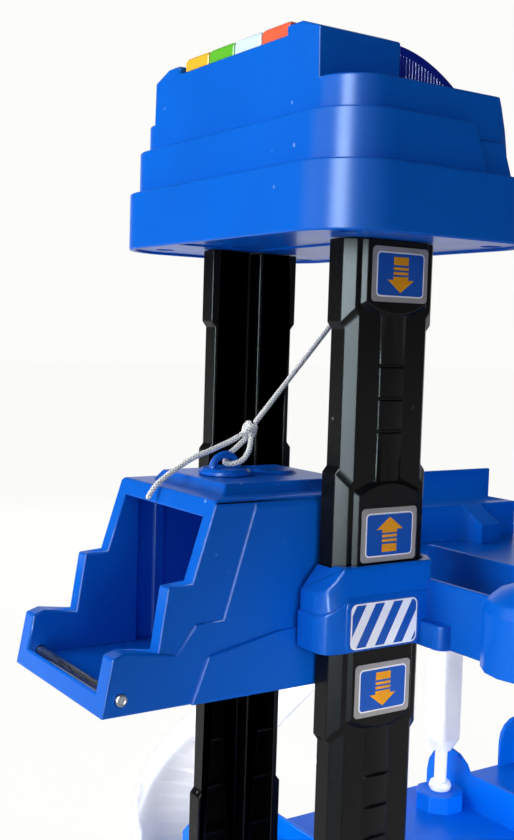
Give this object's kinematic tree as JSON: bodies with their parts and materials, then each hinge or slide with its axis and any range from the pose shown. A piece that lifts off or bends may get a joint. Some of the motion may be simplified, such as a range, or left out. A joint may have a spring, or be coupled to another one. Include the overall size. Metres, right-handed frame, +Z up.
{
  "type": "toy parking garage with lift",
  "caption": "Toy parking garage: a lift cabin hangs on a cord between columns under a stepped head with sound keys, beside parking decks and a curved ramp.",
  "frame": {"origin": "on the floor, midway between the columns, under the pad of the base", "axes": "+Z up, +X from the lift towards the parking decks, -Y towards the front column, +Y towards the ramp"},
  "size_m": [0.358, 0.2783, 0.3199],
  "materials": {
    "blue_plastic": "satin",
    "black_plastic": "satin",
    "white_plastic": "satin",
    "yellow_plastic": "satin",
    "green_plastic": "satin",
    "pale_plastic": "satin",
    "red_plastic": "satin",
    "clear_violet": "polished",
    "steel": "polished",
    "brass": "satin",
    "rubber": "matte",
    "board": "matte",
    "cord": "matte"
  },
  "bodies": {
    "root": {"front_column": "black_plastic", "rear_column": "black_plastic", "upper_deck": "blue_plastic", "base_deck": "blue_plastic", "post_1": "white_plastic", "post_2": "white_plastic", "post_3": "white_plastic", "post_4": "white_plastic", "ramp": "white_plastic", "ramp_pier": "white_plastic", "head_shell": "blue_plastic", "head_base": "blue_plastic", "head_screw_1": "steel", "head_screw_2": "steel", "head_screw_3": "steel", "head_screw_4": "steel", "battery_box": "black_plastic", "battery_1": "brass", "battery_2": "brass", "battery_lid": "blue_plastic", "speaker": "steel", "motor": "steel", "motor_clip": "white_plastic", "winch_bracket_front": "white_plastic", "winch_bracket_rear": "white_plastic", "cord_eyelet": "white_plastic", "circuit_board": "board", "switch_mat": "rubber", "beacon_lens": "clear_violet", "beacon_led": "yellow_plastic", "hoist_cord": "cord", "cord_lead": "cord"},
    "cabin": {"cabin_shell": "blue_plastic", "cabin_floor": "blue_plastic", "floor_pin": "steel", "cord_hook": "blue_plastic", "cord_knot": "cord", "cord_loop": "cord", "cord_tail": "cord"},
    "drum": {"winch_drum": "white_plastic", "winch_shaft": "steel"},
    "pinion": {"motor_pinion": "brass"},
    "yellow_key": {"key_yellow": "yellow_plastic"},
    "green_key": {"key_green": "green_plastic"},
    "white_key": {"key_white": "pale_plastic"},
    "red_key": {"key_red": "red_plastic"}
  },
  "joints": [
    {"name": "lift_slide", "type": "slide", "parent": "root", "child": "cabin", "axis": [0, 0, 1], "range_m": [-0.1168, 0.04], "deforming": ["hoist_cord"]},
    {"name": "drum_spin", "type": "hinge", "parent": "root", "child": "drum", "pos_m": [0.026, 0, 0.269], "axis": [0, 1, 0], "range_deg": [-480, 1380]},
    {"name": "pinion_spin", "type": "hinge", "parent": "root", "child": "pinion", "pos_m": [0.017, 0, 0.269], "axis": [0, 1, 0], "range_deg": [-2760, 960]},
    {"name": "yellow_key_press", "type": "slide", "parent": "root", "child": "yellow_key", "axis": [0, 0, 1], "range_m": [-0.0015, 0], "stiffness_N_per_m": 150},
    {"name": "green_key_press", "type": "slide", "parent": "root", "child": "green_key", "axis": [0, 0, 1], "range_m": [-0.0015, 0], "stiffness_N_per_m": 150},
    {"name": "white_key_press", "type": "slide", "parent": "root", "child": "white_key", "axis": [0, 0, 1], "range_m": [-0.0015, 0], "stiffness_N_per_m": 150},
    {"name": "red_key_press", "type": "slide", "parent": "root", "child": "red_key", "axis": [0, 0, 1], "range_m": [-0.0015, 0], "stiffness_N_per_m": 150}
  ],
  "couplings": [
    {"joint": "drum_spin", "follows": "lift_slide", "rad_per_m": -204.08},
    {"joint": "pinion_spin", "follows": "lift_slide", "rad_per_m": 408.16}
  ]
}
